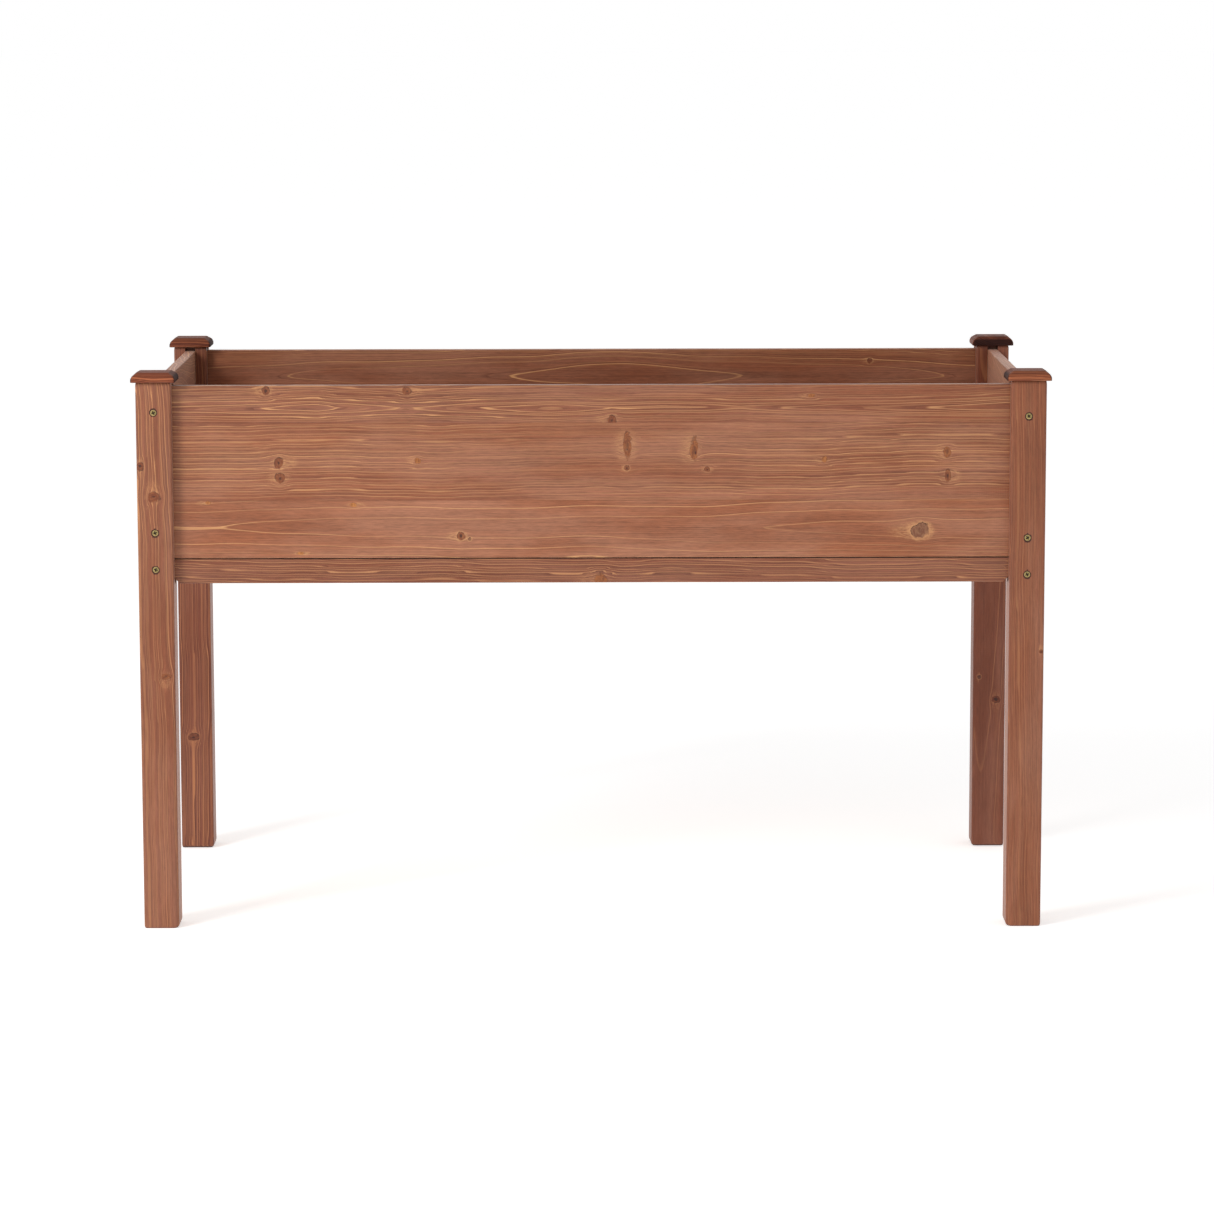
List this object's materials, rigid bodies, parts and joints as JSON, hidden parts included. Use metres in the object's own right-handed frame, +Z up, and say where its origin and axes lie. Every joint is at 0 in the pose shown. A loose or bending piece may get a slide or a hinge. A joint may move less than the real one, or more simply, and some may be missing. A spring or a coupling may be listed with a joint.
{
  "type": "raised planter on legs",
  "caption": "Open-topped rectangular wooden planter box raised on square legs with flat bevelled post caps, glued-up side panels, bottom rails and a slatted drainage floor.",
  "frame": {"origin": "on the ground at the centre of the footprint", "axes": "+X along the long side to the right seen from the front, +Y to the rear, +Z up; the front faces -Y"},
  "size_m": [1.238, 0.61, 0.762],
  "materials": {
    "leg_wood": "satin reddish-brown stain on fir",
    "cap_wood": "satin reddish-brown stain on fir, darker on the end grain",
    "panel_wood": "satin reddish-brown stain on fir",
    "rail_wood": "satin reddish-brown stain on fir",
    "floor_wood": "thin matt coat of the same stain",
    "zinc_screw": "yellow zinc plating"
  },
  "bodies": {
    "root": {"cap_front_left": "cap_wood", "cap_front_right": "cap_wood", "cap_rear_left": "cap_wood", "cap_rear_right": "cap_wood", "floor_slat_01": "floor_wood", "floor_slat_02": "floor_wood", "floor_slat_03": "floor_wood", "floor_slat_04": "floor_wood", "floor_slat_05": "floor_wood", "floor_slat_06": "floor_wood", "floor_slat_07": "floor_wood", "floor_slat_08": "floor_wood", "floor_slat_09": "floor_wood", "floor_slat_10": "floor_wood", "floor_slat_11": "floor_wood", "ledger_front": "floor_wood", "ledger_rear": "floor_wood", "ledger_screw_front_1": "zinc_screw", "ledger_screw_front_2": "zinc_screw", "ledger_screw_front_3": "zinc_screw", "ledger_screw_rear_1": "zinc_screw", "ledger_screw_rear_2": "zinc_screw", "ledger_screw_rear_3": "zinc_screw", "leg_front_left": "leg_wood", "leg_front_right": "leg_wood", "leg_rear_left": "leg_wood", "leg_rear_right": "leg_wood", "panel_front": "panel_wood", "panel_left": "panel_wood", "panel_rear": "panel_wood", "panel_right": "panel_wood", "rail_front": "rail_wood", "rail_left": "rail_wood", "rail_rear": "rail_wood", "rail_right": "rail_wood", "screw_front_left_leg_front_bottom": "zinc_screw", "screw_front_left_leg_front_middle": "zinc_screw", "screw_front_left_leg_front_top": "zinc_screw", "screw_front_left_leg_left_bottom": "zinc_screw", "screw_front_left_leg_left_middle": "zinc_screw", "screw_front_left_leg_left_top": "zinc_screw", "screw_front_right_leg_front_bottom": "zinc_screw", "screw_front_right_leg_front_middle": "zinc_screw", "screw_front_right_leg_front_top": "zinc_screw", "screw_front_right_leg_right_bottom": "zinc_screw", "screw_front_right_leg_right_middle": "zinc_screw", "screw_front_right_leg_right_top": "zinc_screw", "screw_rear_left_leg_left_bottom": "zinc_screw", "screw_rear_left_leg_left_middle": "zinc_screw", "screw_rear_left_leg_left_top": "zinc_screw", "screw_rear_left_leg_rear_bottom": "zinc_screw", "screw_rear_left_leg_rear_middle": "zinc_screw", "screw_rear_left_leg_rear_top": "zinc_screw", "screw_rear_right_leg_rear_bottom": "zinc_screw", "screw_rear_right_leg_rear_middle": "zinc_screw", "screw_rear_right_leg_rear_top": "zinc_screw", "screw_rear_right_leg_right_bottom": "zinc_screw", "screw_rear_right_leg_right_middle": "zinc_screw", "screw_rear_right_leg_right_top": "zinc_screw"}
  },
  "joints": []
}
